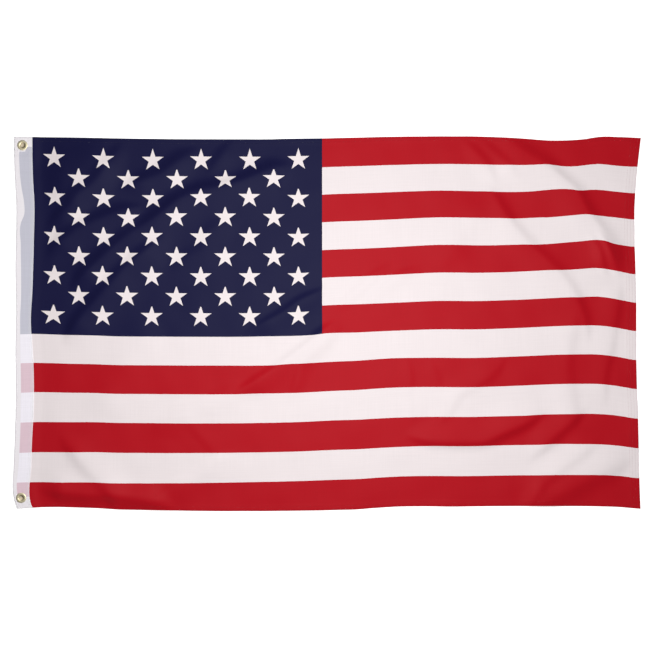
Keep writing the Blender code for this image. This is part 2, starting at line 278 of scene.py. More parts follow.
@dataclass(frozen=True)
class Lay:
    """How the cut cloth lies: as in the solids, but with finer folds and some places moved a few millimetres.

    Attributes:
        corner: (x, y) of the lower corner at the hoist, before it sways.
        laid_hoist: The hoist as it lies, a little less than it was cut.
        bow_fullness: Power of the sine that spreads the bow over the hoist.
        hoist_sway_ends: The s between which the hoist's sway fades away.
        fly_sway_starts: The s between which the fly edge's sway comes in.
        sag_middle: The (s, t) round which the lower edge sags, by up to sag_drop.
        sag_reach: Reaches of the sag's two bells.
        folds_start: The s between which the folds come in.
        fold_foot: Height that is cut off the foot of the folds, so that the cloth between them lies flat.
        drift_fades: Distance from the long edges over which the shifts along Y come in.
    """

    corner: tuple[float, float] = (-0.7603, -0.4523)
    laid_hoist: float = 0.9057
    # Edges as (s, millimetres up), and the extra rise halfway up the hoist.
    top_edge: Knots = (
        (0.0, 1.5), (0.05, 1.5), (0.25, -1.3), (0.54, -3.1), (0.74, -1.7), (0.94, 2.7), (1.04, 3.4),
        (1.14, 2.7), (1.233, -1.4), (1.326, -6.5), (1.38, -2.7), (1.429, 3.9), (1.477, 2.4), (1.524, 0.0),
    )
    bottom_edge: Knots = (
        (0.0, 1.7), (0.052, 4.6), (0.15, 3.8), (0.2, 2.3), (0.248, -0.7), (0.3, -1.8), (0.785, -1.8),
        (0.833, -0.5), (0.882, 3.3), (0.931, 6.3), (0.98, 7.1), (1.077, 6.4), (1.175, 7.6), (1.321, 7.6),
        (1.419, 6.7), (1.468, 5.4), (1.516, 1.7), (1.524, 1.2),
    )
    bow: Knots = (
        (0.045, 7.5), (0.096, 6.0), (0.209, 5.0), (0.331, 5.3), (0.575, 7.0), (0.697, 9.0), (0.77, 12.5),
        (0.941, 13.0), (1.038, 17.0), (1.136, 18.0), (1.233, 23.0), (1.331, 29.0), (1.404, 27.0),
        (1.477, 21.0), (1.516, 16.0),
    )
    bow_fullness: float = 0.8
    # Sway of the hoist and of the fly edge, as (t, millimetres towards the fly).
    hoist_sway: Knots = (
        (0.0, 8.0), (0.03, 0.0), (0.065, -4.4), (0.12, -2.6), (0.19, 0.5), (0.3, 2.7), (0.5, -0.5),
        (0.62, 0.3), (0.72, 3.2), (0.81, 4.0), (0.9, 0.0), (1.0, -1.0),
    )
    fly_sway: Knots = (
        (0.0, 1.5), (0.06, -0.7), (0.22, -4.1), (0.38, -8.5), (0.54, -8.3), (0.64, -11.0), (0.7, -13.4),
        (0.8, -12.7), (0.83, -11.0), (0.93, -4.0), (1.0, 3.0),
    )
    hoist_sway_ends: tuple[float, float] = (0.05, 0.15)
    fly_sway_starts: tuple[float, float] = (1.05, 1.5)
    sag_middle: tuple[float, float] = (0.28, 0.07)
    sag_reach: tuple[float, float] = (0.27, 0.1)
    sag_drop: float = 5.5 * MM
    folds_start: tuple[float, float] = (0.05, 0.12)
    fold_foot: float = 0.2 * MM
    folds: tuple[Fold, ...] = (
        # Across the starred corner, from its lower left to its upper right.
        Fold(9, 1, 18, 46, (
            (-645, -60), (-622, -20), (-590, 25), (-530, 90), (-497, 127), (-440, 175), (-380, 220),
        )),
        Fold(9, 3, 20, 50, (
            (-630, 70), (-600, 110), (-550, 160), (-486, 215), (-417, 259), (-349, 310), (-310, 325),
            (-240, 338), (-177, 362), (-120, 385), (-70, 390),
        )),
        Fold(8, 1, 18, 36, ((-685, 140), (-655, 195), (-620, 222), (-549, 260), (-487, 280), (-430, 290))),
        Fold(8, 1, 20, 36, (
            (-690, 215), (-660, 255), (-625, 288), (-612, 310), (-571, 343), (-520, 410), (-490, 450),
        )),
        Fold(7, 1, 18, 36, ((-520, 325), (-446, 355), (-407, 370), (-358, 404), (-300, 435))),
        Fold(4, 0, 14, 30, ((-300, 360), (-270, 395), (-250, 420), (-220, 460))),
        Fold(3.5, 0, 20, 40, ((-390, 120), (-329, 165), (-300, 180), (-285, 218), (-200, 260))),
        Fold(9, 0, 60, 50, ((-700, 290), (-610, 370), (-530, 470))),
        # From that corner's lower right towards the middle of the field.
        Fold(6, 1, 11, 36, ((-210, -25), (-168, -6), (-100, 32), (-66, 56), (-27, 75), (20, 100))),
        Fold(7, 2, 13, 36, ((-235, -178), (-185, -148), (-118, -103), (-36, -42), (40, 22))),
        Fold(3, 0, 10, 20, ((-100, -200), (-72, -140), (-60, -100), (0, -42), (50, 10))),
        Fold(3, 0, 10, 22, ((0, 20), (60, 72), (100, 108), (170, 160))),
        Fold(3, 0, 10, 22, ((70, 30), (130, 85), (175, 118), (250, 145))),
        # From the top edge down to the fly.
        Fold(7.5, 1, 21, 60, (
            (410, 460), (450, 440), (506, 403), (560, 365), (605, 330), (637, 272), (668, 228), (695, 185),
            (715, 140), (720, 110),
        )),
        Fold(0, 7, 22, 60, (
            (520, 392), (560, 365), (605, 330), (637, 272), (668, 228), (695, 185), (715, 140),
        )),
        Fold(5.5, 2, 16, 55, (
            (380, 360), (410, 310), (445, 255), (490, 200), (545, 145), (595, 85), (620, 30), (640, -60),
        )),
        Fold(3, 0, 10, 25, ((320, 460), (360, 425), (385, 400), (405, 365), (420, 320))),
        Fold(3, 0, 10, 25, ((370, 460), (410, 420), (438, 395), (480, 350))),
        Fold(4, 0, 34, 60, ((385, 340), (345, 262), (306, 199), (270, 120))),
        Fold(5, 0, 10, 18, ((650, 240), (685, 180), (700, 150), (720, 100))),
        Fold(4, 0, 8, 14, ((630, 230), (660, 175), (672, 145), (690, 100))),
        Fold(3, 0, 12, 34, ((720, 120), (705, 30), (690, -60), (675, -130), (680, -220))),
        Fold(3.5, 0, 18, 40, ((610, 40), (593, -30), (583, -100), (590, -160), (610, -260))),
        # Small upright creases in the middle right.
        Fold(2, 0, 10, 20, ((180, -60), (200, -110), (203, -150), (190, -200))),
        Fold(1.5, 0, 10, 20, ((245, -70), (263, -120), (280, -180))),
        Fold(3, 0, 14, 36, ((450, -60), (400, -120), (365, -145), (325, -165), (300, -205), (260, -260))),
        # At the lower fly end.
        Fold(8, 1, 15, 38, (
            (545, -200), (480, -240), (430, -263), (385, -283), (330, -286), (260, -284), (180, -268),
        )),
        Fold(6, 1, 15, 38, ((650, -190), (595, -235), (565, -262), (535, -290), (480, -340))),
        Fold(4, 0, 16, 36, ((680, -270), (610, -320), (555, -360), (520, -390), (505, -420), (490, -470))),
        Fold(8, 1, 30, 44, ((750, -325), (700, -345), (660, -360), (600, -395), (550, -420), (460, -440))),
        # Across the lower left.
        Fold(4, 0, 60, 60, ((-570, -250), (-520, -150), (-490, -100), (-440, -35), (-400, 20))),
        Fold(4, 0, 22, 40, ((-440, -270), (-340, -215), (-280, -190), (-240, -170), (-170, -145))),
        Fold(2, 0, 12, 30, ((-250, -360), (-283, -300), (-315, -262), (-360, -210))),
        Fold(4, 0, 14, 36, ((-440, -445), (-380, -405), (-330, -375), (-285, -345), (-210, -305))),
        Fold(6, 0, 18, 36, ((-500, -470), (-535, -395), (-580, -350), (-615, -306), (-660, -260))),
        Fold(10, 1, 22, 30, (
            (-360, -450), (-460, -425), (-530, -415), (-600, -410), (-660, -400), (-720, -390),
        )),
    )
    # Soft unevenness as (wavelength, direction in degrees, start of the wave), each of them ripple high.
    ripples: tuple[tuple[float, float, float], ...] = (
        (0.071, 25.0, 0.4), (0.083, 108.0, 2.9), (0.097, 150.0, 1.7), (0.118, 62.0, 5.1), (0.139, -12.0, 3.6),
    )
    ripple: float = 0.4 * MM
    drifts: tuple[Drift, ...] = (
        # The heading's narrow places.
        Drift((-0.762, 0.035), (0.03, 0.085), (4.6, 0)),
        Drift((-0.71, -0.28), (0.035, 0.05), (-2.2, 0)),
        Drift((-0.712, -0.45), (0.03, 0.07), (-8.6, 0)),
        # Starred corner.
        Drift((0.0, 0.385), (0.9, 0.07), (0, -3)),
        Drift((-0.48, 0.4), (0.13, 0.12), (0, -2)),
        Drift((-0.43, 0.3), (0.15, 0.2), (2.2, 0)),
        Drift((-0.7, 0.01), (0.035, 0.06), (-6, 0)),
        Drift((-0.665, 0.21), (0.035, 0.05), (-3.5, 0)),
        Drift((-0.6, 0.2), (0.22, 0.3), (0, -1.5)),
        Drift((-0.08, 0.3), (0.08, 0.2), (0, -1.5)),
        # Upper right.
        Drift((0.05, 0.22), (0.17, 0.15), (0, -3.6)),
        Drift((0.44, 0.25), (0.13, 0.17), (0, -5)),
        Drift((0.54, 0.375), (0.04, 0.05), (0, 5)),
        Drift((0.72, 0.37), (0.07, 0.06), (0, -6)),
        Drift((0.66, 0.12), (0.05, 0.08), (0, 2)),
        Drift((0.76, 0.23), (0.1, 0.06), (4, 0)),
        # Lower right.
        Drift((0.42, 0.02), (0.2, 0.08), (0, -2)),
        Drift((0.45, -0.25), (0.25, 0.2), (0, -2.4)),
        Drift((0.16, -0.11), (0.08, 0.07), (0, 4)),
        # Lower left.
        Drift((-0.72, -0.36), (0.14, 0.2), (0, -8)),
    )
    drift_fades: float = 15 * MM

    def flat(self, s: Array, t: Array) -> tuple[Array, Array]:
        """Lays the cloth flat, with its edges strayed and its stripes bowed.

        x = corner + s + sway and y = corner + t laid_hoist + edges + bow sin(πt)^fullness - sag.

        Args:
            s: Distances from the heading's folded edge.
            t: Shares of the hoist.

        Returns:
            x and y.
        """
        edges = through(self.bottom_edge, s) * (1 - t) + through(self.top_edge, s) * t
        bow = through(self.bow, s) * np.sin(np.pi * np.clip(t, 0, 1)) ** self.bow_fullness
        sag = self.sag_drop * bell(s, self.sag_middle[0], self.sag_reach[0])
        sag = sag * bell(t, self.sag_middle[1], self.sag_reach[1]) * ease(t, 0, self.sag_middle[1])
        hoist = through(self.hoist_sway, t) * (1 - ease(s, *self.hoist_sway_ends))
        fly = through(self.fly_sway, t) * ease(s, *self.fly_sway_starts)
        x = self.corner[0] + s + MM * (hoist + fly)
        y = self.corner[1] + t * self.laid_hoist + MM * (edges + bow) - sag
        return x, y

    def place(self, s: Array, t: Array) -> tuple[Array, Array, Array]:
        """Lays the cloth with its folds.

        Args:
            s: Distances from the heading's folded edge.
            t: Shares of the hoist.

        Returns:
            x, y and the height of the folds.
        """
        x, y = self.flat(s, t)
        free = ease(s, *self.folds_start)
        height, shift_x, shift_y = np.zeros((3,) + x.shape)
        from_edge = np.clip(np.minimum(t, 1 - t), 0, None) * self.laid_hoist
        held = 1 - np.exp(-from_edge / self.drift_fades)
        for drift in self.drifts:
            drift_x, drift_y = drift.act(x, y)
            shift_x += drift_x
            shift_y += held * drift_y
        for fold in self.folds:
            rise, pull_x, pull_y = fold.act(x, y)
            height += free * rise
            shift_x += free * pull_x
            shift_y += free * pull_y
        height = np.clip(height - self.fold_foot, 0, None)
        for length, way, start in self.ripples:
            along = x * np.cos(np.radians(way)) + y * np.sin(np.radians(way))
            height += free * self.ripple * (0.5 + 0.5 * np.sin(2 * np.pi * along / length + start))
        return x + shift_x, y + shift_y, height


@dataclass(frozen=True)
class Stack:
    """Sizes of the layers at the hoist, as in the solids.

    Attributes:
        ply: Thickness of one layer.
        gap: Gap between two layers.
        cloth_lift: How far the backs of the grommets hold up the cloth.
        lift_ends: Distances from the heading's ends between which it comes down.
        turned_in_bottom: Length of the end that is turned in at the bottom.
        turned_in_top: The same at the top.
        turned_in_width: How far the turned-in ends reach from the folded edge.
    """

    ply: float = 1.0 * MM
    gap: float = 0.3 * MM
    cloth_lift: float = 1.6 * MM
    lift_ends: tuple[float, float] = (0.046, 0.082)
    heading_width: float = 44 * MM
    turned_in_bottom: float = 42 * MM
    turned_in_top: float = 36 * MM
    turned_in_width: float = 33.8 * MM

    @property
    def thickness(self) -> float:
        """Height of the folded heading with the field inside it."""
        return 3 * self.ply + 2 * self.gap

    def lift(self, t: Array) -> Array:
        """How far the backs of the grommets hold the cloth off the surface at t."""
        from_end = np.minimum(t, 1 - t) * Lay.laid_hoist
        return self.cloth_lift * (1 - ease(from_end, *self.lift_ends))

    def at_ends(self, t: Array, past: float, over: float) -> Array:
        """Marks the turned-in ends of the heading.

        Args:
            t: Shares of the hoist.
            past: How far beyond an end zone the mark is still 1.
            over: Length over which it then falls to 0.

        Returns:
            1 in the end zones and 0 between them.
        """
        low = t * Lay.laid_hoist - self.turned_in_bottom - past
        high = (1 - t) * Lay.laid_hoist - self.turned_in_top - past
        return 1 - ease(np.minimum(low, high), 0, over)


def feed(tree: NodeTree, node: Node, inputs: dict[int | str, object]) -> None:
    """Sets or links inputs of a node.

    Args:
        tree: Node tree that it stands in.
        node: The node.
        inputs: For each input, by name or number, its value or the output that feeds it.
    """
    for key, value in inputs.items():
        if isinstance(value, NodeSocket):
            tree.links.new(value, node.inputs[key])
        else:
            node.inputs[key].default_value = value


def add_node(
    tree: NodeTree, kind: str, inputs: dict[int | str, object] | None = None, **settings: object
) -> Node:
    """Adds a node with its settings and links.

    Args:
        tree: Node tree that it goes into.
        kind: Blender's name of the node type.
        inputs: Its inputs, as for feed.
        **settings: The node's own properties.

    Returns:
        The node.
    """
    node = tree.nodes.new(kind)
    for name, value in settings.items():
        setattr(node, name, value)
    feed(tree, node, inputs or {})
    return node


def work_out(tree: NodeTree, values: dict[str, object], steps: Sequence[tuple]) -> dict[str, object]:
    """Adds the nodes of a formula given as steps.

    Args:
        tree: Node tree that they go into.
        values: The outputs that the steps may name. Each step's result joins them.
        steps: (name, operation, operands...), where the operation is one of STEPS or of a Math node, and an
            operand is a name, a number or a colour.

    Returns:
        The same values, with the results.
    """
    for name, operation, *operands in steps:
        plain = ("ShaderNodeMath", range(len(operands)), 0, {"operation": operation})
        kind, places, output, settings = STEPS.get(operation, plain)
        inputs = {place: values[o] if isinstance(o, str) else o for place, o in zip(places, operands)}
        values[name] = add_node(tree, kind, inputs, **settings).outputs[output]
    return values


@dataclass(frozen=True)
class Print:
    """The printed pattern, worked out from the place on the cut cloth.

    Stripe k, counted from the bottom, holds t from k/13 to (k + 1)/13, and even ones are red. The starred
    corner holds the upper seven stripes up to canton_end. Its stars stand in nine rows, six and five by
    turns. A point at distance r and angle a from the nearest star's middle, with a folded into 0 to 36
    degrees from a tip, is inside the star where r cos(72° - a) < R cos 72°.
    """

    red: str = "AA0818"
    white: str = "E3D9DA"
    navy: str = "111138"
    canton_end: float = 0.7494
    first_star: float = 0.0959
    star_pitch: float = 0.1191
    star_radius: float = 27.9 * MM
    star_rows: int = 9
    short_row: int = 5
    canton_stripes: int = 7
    edge_blur: float = 0.5 * MM

    def colour(self, tree: NodeTree, u: object, v: object) -> NodeSocket:
        """Adds the nodes of the pattern.

        Args:
            tree: Node tree.
            u: Output with s in metres.
            v: Output with the height on the cut cloth in metres.

        Returns:
            The pattern's colour output.
        """
        canton_rise = self.canton_stripes / STRIPES * CUT_HOIST
        row_pitch = canton_rise / (self.star_rows + 1)
        fifth = float(np.radians(72))
        values = work_out(tree, {"u": u, "v": v}, (
            ("stripe", "MULTIPLY", "v", STRIPES / CUT_HOIST),
            ("number", "FLOOR", "stripe"),
            ("is_white", "MODULO", "number", 2.0),
            ("high", "GREATER_THAN", "v", CUT_HOIST - canton_rise),
            ("near", "LESS_THAN", "u", self.canton_end),
            ("in_canton", "MULTIPLY", "high", "near"),
            ("below_top", "SUBTRACT", CUT_HOIST, "v"),
            ("row", "DIVIDE", "below_top", row_pitch),
            ("row_rounded", "ROUND", "row"),
            ("row_low", "MAXIMUM", "row_rounded", 1.0),
            ("row_number", "MINIMUM", "row_low", float(self.star_rows)),
            ("row_off", "SUBTRACT", "row_number", "row"),
            ("up", "MULTIPLY", "row_off", row_pitch),
            ("six", "MODULO", "row_number", 2.0),
            ("five", "SUBTRACT", 1.0, "six"),
            ("start", "MULTIPLY_ADD", "five", self.star_pitch / 2, self.first_star),
            ("along", "SUBTRACT", "u", "start"),
            ("star", "DIVIDE", "along", self.star_pitch),
            ("star_rounded", "ROUND", "star"),
            ("star_low", "MAXIMUM", "star_rounded", 0.0),
            ("last_star", "ADD", "six", self.short_row - 1.0),
            ("star_number", "MINIMUM", "star_low", "last_star"),
            ("star_off", "SUBTRACT", "star", "star_number"),
            ("across", "MULTIPLY", "star_off", self.star_pitch),
            ("angle", "ARCTAN2", "across", "up"),
            ("turn", "ABSOLUTE", "angle"),
            ("folded", "PINGPONG", "turn", fifth / 2),
            ("from_edge", "SUBTRACT", fifth, "folded"),
            ("cosine", "COSINE", "from_edge"),
            ("across_square", "MULTIPLY", "across", "across"),
            ("square", "MULTIPLY_ADD", "up", "up", "across_square"),
            ("far", "SQRT", "square"),
            ("reach", "MULTIPLY", "far", "cosine"),
            ("inside", "SUBTRACT", self.star_radius * float(np.cos(fifth)), "reach"),
            ("sharp", "DIVIDE", "inside", self.edge_blur),
            ("centred", "ADD", "sharp", 0.5),
            ("not_under", "MAXIMUM", "centred", 0.0),
            ("in_star", "MINIMUM", "not_under", 1.0),
            ("stripes", "MIX", "is_white", linear(self.red), linear(self.white)),
            ("canton", "MIX", "in_star", linear(self.navy), linear(self.white)),
            ("print", "MIX", "in_canton", "stripes", "canton"),
        ))
        return values["print"]


@dataclass(frozen=True)
class Weave:
    """A plain weave with slubs.

    The thread spacing is 0.35 mm in the real cloth. It is drawn at 1 mm, because anything finer can't show.
    Slubs, the thicker stretches of single threads, are 2.5 mm wide streaks of lighter and darker colour.
    """

    spacing: float = 1.0 * MM
    relief: float = 0.05 * MM
    relief_strength: float = 0.35
    slub_width: float = 2.5 * MM
    slub_length: float = 90 * MM
    slub_contrast: float = 0.015

    def slubs(self, tree: NodeTree, where: object, colour: object) -> NodeSocket:
        """Adds streaks along both thread directions to a colour.

        Args:
            tree: Node tree.
            where: Output with the place on the cut cloth.
            colour: Output with the colour before the streaks.

        Returns:
            The streaked colour's output.
        """
        for across, along in ((0, 1), (1, 0)):
            scale = [0.0, 0.0, 1.0]
            scale[across] = 1 / self.slub_width
            scale[along] = 1 / self.slub_length
            low, high = 1 - self.slub_contrast, 1 + self.slub_contrast
            colour = work_out(tree, {"where": where, "colour": colour}, (
                ("at", "SCALE", "where", tuple(scale)),
                ("noise", "NOISE", "at", 1.0, 2.0),
                ("lightness", "RANGE", "noise", NOISE_LOW, NOISE_HIGH, low, high),
                ("streaked", "TINT", 1.0, "colour", "lightness"),
            ))["streaked"]
        return colour

    def relief_normal(self, tree: NodeTree, u: object, v: object) -> NodeSocket:
        """Adds the raised crossings of a plain weave, sin(πu/p) sin(πv/p), as a bump.

        Args:
            tree: Node tree.
            u: Output with s in metres.
            v: Output with the height on the cut cloth in metres.

        Returns:
            The bumped normal's output.
        """
        values = work_out(tree, {"u": u, "v": v}, (
            ("warp_turn", "MULTIPLY", "u", float(np.pi) / self.spacing),
            ("weft_turn", "MULTIPLY", "v", float(np.pi) / self.spacing),
            ("warp", "SINE", "warp_turn"),
            ("weft", "SINE", "weft_turn"),
            ("crossing", "MULTIPLY", "warp", "weft"),
            ("normal", "BUMP", "crossing", self.relief_strength, self.relief),
        ))
        return values["normal"]


def new_material(name: str) -> tuple[Material, NodeTree, Node]:
    """Makes a material that holds a Principled BSDF and an output.

    Args:
        name: Name of the material.

    Returns:
        The material, its node tree and its shader node.
    """
    material = bpy.data.materials.new(name)
    material.use_nodes = True
    tree = material.node_tree
    return material, tree, tree.nodes["Principled BSDF"]


def cut_place(tree: NodeTree) -> tuple[object, object, object]:
    """Reads the place on the cut cloth.

    Args:
        tree: Node tree.

    Returns:
        Outputs with the whole place, s and the height, in metres.
    """
    where = add_node(tree, "ShaderNodeUVMap", uv_map=UV_NAME).outputs[0]
    apart = add_node(tree, "ShaderNodeSeparateXYZ", {0: where})
    return where, apart.outputs[0], apart.outputs[1]


@dataclass(frozen=True)
class PrintedPolyester:
    """Dye-printed woven polyester: flat, even colour with a faint sheen off the filament yarn."""

    pattern: Print = field(default_factory=Print)
    weave: Weave = field(default_factory=Weave)
    roughness: float = 0.6
    specular: float = 0.1
    sheen: float = 0.035
    back_paleness: float = 0.05

    def material(self, side: Side) -> Material:
        """Makes the cloth's material for one side.

        Args:
            side: Which side it is for. On the back the print shows through a little paler.

        Returns:
            The material.
        """
        made, tree, shader = new_material(f"printed_polyester_{side.value}")
        where, u, v = cut_place(tree)
        colour = self.pattern.colour(tree, u, v)
        if side is Side.BACK:
            colour = work_out(tree, {"print": colour}, (
                ("paler", "MIX", self.back_paleness, "print", linear(self.pattern.white)),
            ))["paler"]
        feed(tree, shader, {
            "Base Color": self.weave.slubs(tree, where, colour),
            "Normal": self.weave.relief_normal(tree, u, v),
            "Roughness": self.roughness,
            "Specular IOR Level": self.specular,
            "Sheen Weight": self.sheen,
        })
        return made


@dataclass(frozen=True)
class WhiteCanvas:
    """Thin white polyester canvas: matt, and thin enough for the print inside to tint it."""

    pattern: Print = field(default_factory=Print)
    # The real threads are about half a millimetre apart. They are drawn at 1.3 mm, so that they can show.
    weave: Weave = field(
        default_factory=lambda: Weave(spacing=1.3 * MM, relief=0.08 * MM, slub_contrast=0.02)
    )
    alone: str = "EEE9ED"
    over_cloth: str = "FFFEFF"
    seam_allowance: str = "E2E5DE"
    # Blue that the plies scatter between them where they lie over the print.
    scattered: str = "000065"
    seam_share: float = 0.2
    show_through: float = 0.45
    seam_width: float = 4 * MM
    edge_softness: float = 0.6 * MM
    roughness: float = 0.8
    specular: float = 0.2

    def material(self, width: float) -> Material:
        """Makes the canvas's material.

        Args:
            width: Width of the heading.

        Returns:
            The material.
        """
        made, tree, shader = new_material("white_canvas")
        where, u, v = cut_place(tree)
        under = add_node(tree, "ShaderNodeAttribute", attribute_name=UNDER_NAME).outputs["Fac"]
        seam_start = width - self.seam_width
        values = work_out(tree, {"u": u, "under": under, "print": self.pattern.colour(tree, u, v)}, (
            ("beneath", "LIGHTEN", 1.0, "print", linear(self.scattered)),
            ("tinted", "MIX", self.show_through, linear(self.over_cloth), "beneath"),
            ("shown", "RANGE", "under", -self.edge_softness, self.edge_softness),
            ("plies", "MIX", "shown", linear(self.alone), "tinted"),
            ("seam", "RANGE", "u", seam_start - self.edge_softness, seam_start, 0.0, self.seam_share),
            ("canvas", "MIX", "seam", "plies", linear(self.seam_allowance)),
        ))
        feed(tree, shader, {
            "Base Color": self.weave.slubs(tree, where, values["canvas"]),
            "Normal": self.weave.relief_normal(tree, u, v),
            "Roughness": self.roughness,
            "Specular IOR Level": self.specular,
        })
        return made


@dataclass(frozen=True)
class Monofilament:
    """Clear nylon sewing thread: it takes on the colour of the print beneath and is glossy, and a painted
    shade darkens it a little, as the shade in the stitch grooves would.
    """

    pattern: Print = field(default_factory=Print)
    # Painted shade: this multiplies the print beneath so the rows look darker, as the shade in their grooves
    # would make them.
    painted_groove_shade: str = "DCC8CB"
    roughness: float = 0.38

    def material(self) -> Material:
        """Makes the thread's material.

        Returns:
            The material.
        """
        made, tree, shader = new_material("clear_nylon_thread")
        _, u, v = cut_place(tree)
        values = work_out(tree, {"print": self.pattern.colour(tree, u, v)}, (
            # The print, darkened by the painted groove shade.
            ("colour", "TINT", 1.0, "print", linear(self.painted_groove_shade)),
        ))
        feed(tree, shader, {"Base Color": values["colour"], "Roughness": self.roughness})
        return made


@dataclass(frozen=True)
class SpunThread:
    """White spun polyester sewing thread: matt, with a twist every 0.6 mm that makes it slightly uneven."""

    colour: str = "DEDCDA"
    twist: float = 0.6 * MM
    tones: tuple[float, float] = (0.9, 1.0)
    roughness: float = 0.75

    def material(self) -> Material:
        """Makes the thread's material.

        Returns:
            The material.
        """
        made, tree, shader = new_material("spun_polyester_thread")
        where = add_node(tree, "ShaderNodeTexCoord").outputs["Object"]
        values = work_out(tree, {"where": where}, (
            ("noise", "NOISE", "where", 1 / self.twist, 1.0),
            ("tone", "RANGE", "noise", NOISE_LOW, NOISE_HIGH, *self.tones),
            ("colour", "TINT", 1.0, linear(self.colour), "tone"),
        ))
        feed(tree, shader, {"Base Color": values["colour"], "Roughness": self.roughness})
        return made


@dataclass(frozen=True)
class PressedBrass:
    """Pressed and tumbled brass: pale yellow, softly polished, with small scuffs and a duller tarnish."""

    bright: str = "F0E7C4"
    tarnish: str = "D3C8A4"
    patch: float = 4 * MM
    # Value of the patches' noise at which the tarnish begins.
    tarnish_from: float = 0.42
    scuff: float = 0.5 * MM
    scuff_depth: float = 0.03 * MM
    scuff_strength: float = 0.15
    roughness: tuple[float, float] = (0.45, 0.58)

    def material(self) -> Material:
        """Makes the brass's material.

        Returns:
            The material.
        """
        made, tree, shader = new_material("pressed_brass")
        where = add_node(tree, "ShaderNodeTexCoord").outputs["Object"]
        values = work_out(tree, {"where": where}, (
            ("patches", "NOISE", "where", 1 / self.patch, 4.0),
            ("share", "RANGE", "patches", self.tarnish_from, NOISE_HIGH),
            ("colour", "MIX", "share", linear(self.bright), linear(self.tarnish)),
            ("rough", "RANGE", "patches", NOISE_LOW, NOISE_HIGH, *self.roughness),
            ("scuffs", "NOISE", "where", 1 / self.scuff, 3.0),
            ("normal", "BUMP", "scuffs", self.scuff_strength, self.scuff_depth),
        ))
        feed(tree, shader, {
            "Base Color": values["colour"], "Roughness": values["rough"], "Normal": values["normal"],
            "Metallic": 1.0,
        })
        return made


def make_piece(
    name: str,
    points: Array,
    faces: Sequence[Sequence[int]],
    materials: Sequence[Material],
    cut: Array | None = None,
    slots: Numbers | None = None,
) -> Object:
    """Makes an object at the origin from points in place.

    Args:
        name: Name of the piece.
        points: (n, 3) points.
        faces: Indices of each face's points, seen from outside anticlockwise.
        materials: Its materials.
        cut: (n, 2) place of each point on the cut cloth, in metres, for the UV map.
        slots: Number of each face's material, if there are several.

    Returns:
        The object, in the scene.
    """
    mesh = bpy.data.meshes.new(name)
    mesh.from_pydata(points, [], faces)
    if cut is not None:
        corner = np.empty(len(mesh.loops), dtype=np.int32)
        mesh.loops.foreach_get("vertex_index", corner)
        mesh.uv_layers.new(name=UV_NAME).data.foreach_set("uv", cut[corner].ravel())
    for material in materials:
        mesh.materials.append(material)
    if slots is not None:
        mesh.polygons.foreach_set("material_index", slots)
    mesh.shade_smooth()
    obj = bpy.data.objects.new(name, mesh)
    bpy.context.scene.collection.objects.link(obj)
    return obj


def grid_faces(rows: int, columns: int) -> Numbers:
    """Numbers the quads of a grid whose points are in row order.

    Args:
        rows: Number of rows of points.
        columns: Number of points in a row.

    Returns:
        (n, 4) indices that face up where columns run along X and rows along Y.
    """
    number = np.arange(rows * columns).reshape(rows, columns)
    corners = (number[:-1, :-1], number[:-1, 1:], number[1:, 1:], number[1:, :-1])
    return np.stack(corners, axis=-1).reshape(-1, 4)


def rim_numbers(rows: int, columns: int) -> Numbers:
    """Numbers the points round a grid's edge, anticlockwise seen from above."""
    number = np.arange(rows * columns).reshape(rows, columns)
    return np.concatenate([number[0, :-1], number[:-1, -1], number[-1, :0:-1], number[:0:-1, 0]])


def band_faces(first: Numbers, second: Numbers) -> Numbers:
    """Joins two closed rings of points, the first below the second, by quads that face outwards."""
    return np.stack([first, np.roll(first, -1), np.roll(second, -1), second], axis=1)


@dataclass
class Sheet:
    """A closed sheet between an outer and an inner grid of points, with a rounded rim.

    Attributes:
        outer: (rows, columns, 3) points of the side whose normals point out.
        inner: The same for the other side.
        cut: (rows, columns, 2) places on the cut cloth.
        bulge: How far the rim's middle line stands out.
    """

    outer: Array
    inner: Array
    cut: Array
    bulge: float = 0.0

    def build(self, name: str, outside: Material, inside: Material) -> Object:
        """Makes the mesh. The rim's middle line is halfway between the two sides, moved outwards by bulge.

        Args:
            name: Name of the piece.
            outside: Material of the outer side and the rim.
            inside: Material of the inner side.

        Returns:
            The object.
        """
        rows, columns, _ = self.outer.shape
        total = rows * columns
        rim = rim_numbers(rows, columns)
        outer, inner = self.outer.reshape(-1, 3), self.inner.reshape(-1, 3)
        middle = (outer[rim] + inner[rim]) / 2
        along = np.roll(middle, -1, axis=0) - np.roll(middle, 1, axis=0)
        out = np.stack([along[:, 1], -along[:, 0]], axis=1)
        middle[:, :2] += self.bulge * out / np.maximum(np.linalg.norm(out, axis=1, keepdims=True), 1e-9)
        cut = self.cut.reshape(-1, 2)
        faces = grid_faces(rows, columns)
        ring = 2 * total + np.arange(len(rim))
        parts = [faces, faces[:, ::-1] + total, band_faces(ring, rim), band_faces(rim + total, ring)]
        slots = np.repeat(np.array([0, 1, 0, 0], dtype=np.int32), [len(p) for p in parts])
        points = np.concatenate([outer, inner, middle])
        cut = np.concatenate([cut, cut, cut[rim]])
        return make_piece(name, points, np.concatenate(parts), (outside, inside), cut, slots)


